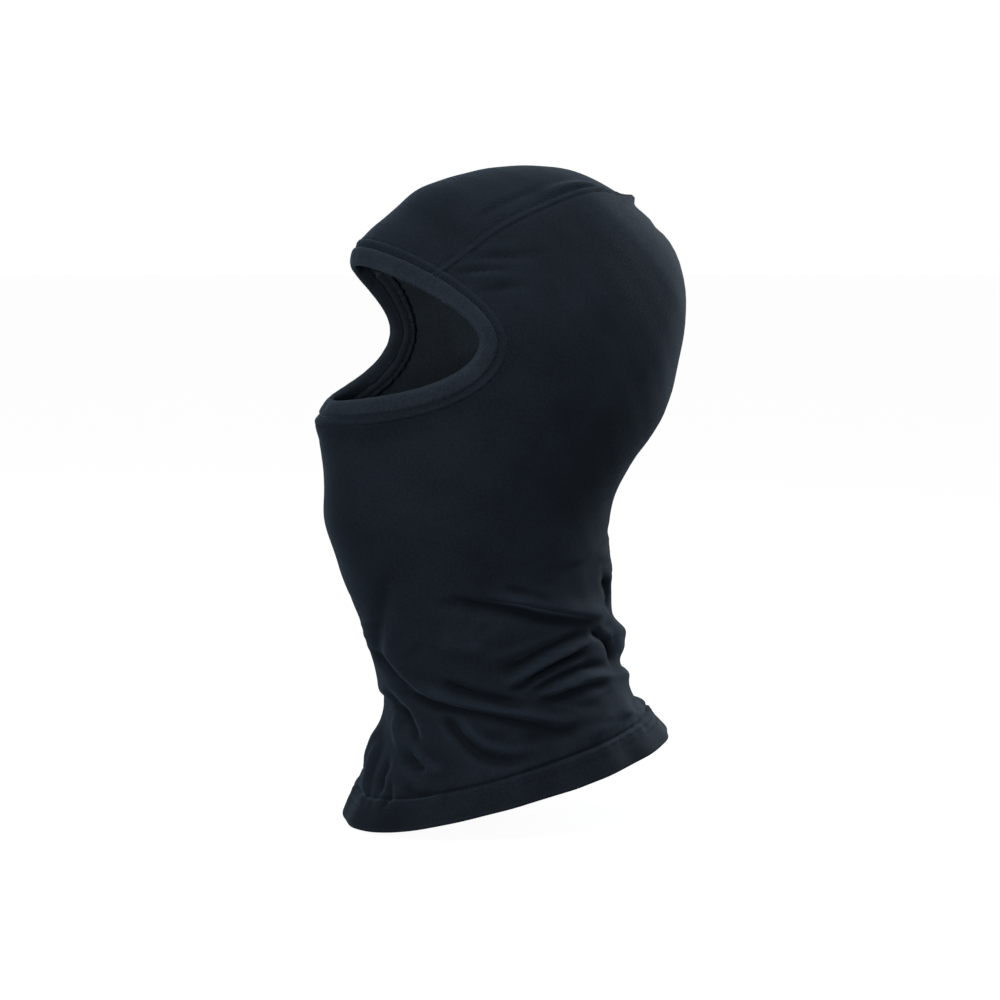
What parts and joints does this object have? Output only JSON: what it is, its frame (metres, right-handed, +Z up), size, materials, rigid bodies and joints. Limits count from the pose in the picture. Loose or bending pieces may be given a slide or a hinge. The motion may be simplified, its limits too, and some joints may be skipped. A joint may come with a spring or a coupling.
{
  "type": "balaclava",
  "caption": "Thin stretch-knit hood that covers the head and neck, with one open oval for the face, a tapered crown panel and a flared, turned-up neck hem.",
  "frame": {"origin": "centre of the wearer's head, at the mount named head: midway between the ears, about 95 mm under the top of the crown", "axes": "+Z up; the face looks towards -Y; +X is the wearer's left; the part is mirror-symmetric about X = 0"},
  "size_m": [0.164, 0.23, 0.3822],
  "materials": {
    "jersey": "matte navy-black fine jersey knit, faint vertical wales, soft bluish fuzz at grazing angles",
    "binding_jersey": "the same jersey folded double, slightly smoother",
    "sewing_thread": "textured polyester thread, a little lighter than the jersey",
    "woven_tape": "flat woven polyester tape, blank"
  },
  "bodies": {
    "root": {"body_panel": "jersey", "crown_panel": "jersey", "face_binding": "binding_jersey", "care_label": "woven_tape", "binding_join_thread": "sewing_thread", "binding_stitch_inner_row": "sewing_thread", "binding_stitch_outer_row": "sewing_thread", "binding_looper_thread": "sewing_thread", "crown_seam_left_upper_row": "sewing_thread", "crown_seam_left_lower_row": "sewing_thread", "crown_seam_left_looper_thread": "sewing_thread", "crown_seam_right_upper_row": "sewing_thread", "crown_seam_right_lower_row": "sewing_thread", "crown_seam_right_looper_thread": "sewing_thread", "back_seam_left_row": "sewing_thread", "back_seam_right_row": "sewing_thread", "back_seam_looper_thread": "sewing_thread", "hem_stitch_upper_row": "sewing_thread", "hem_stitch_lower_row": "sewing_thread", "hem_looper_thread": "sewing_thread", "label_stitch_upper": "sewing_thread", "label_stitch_lower": "sewing_thread"}
  },
  "joints": []
}
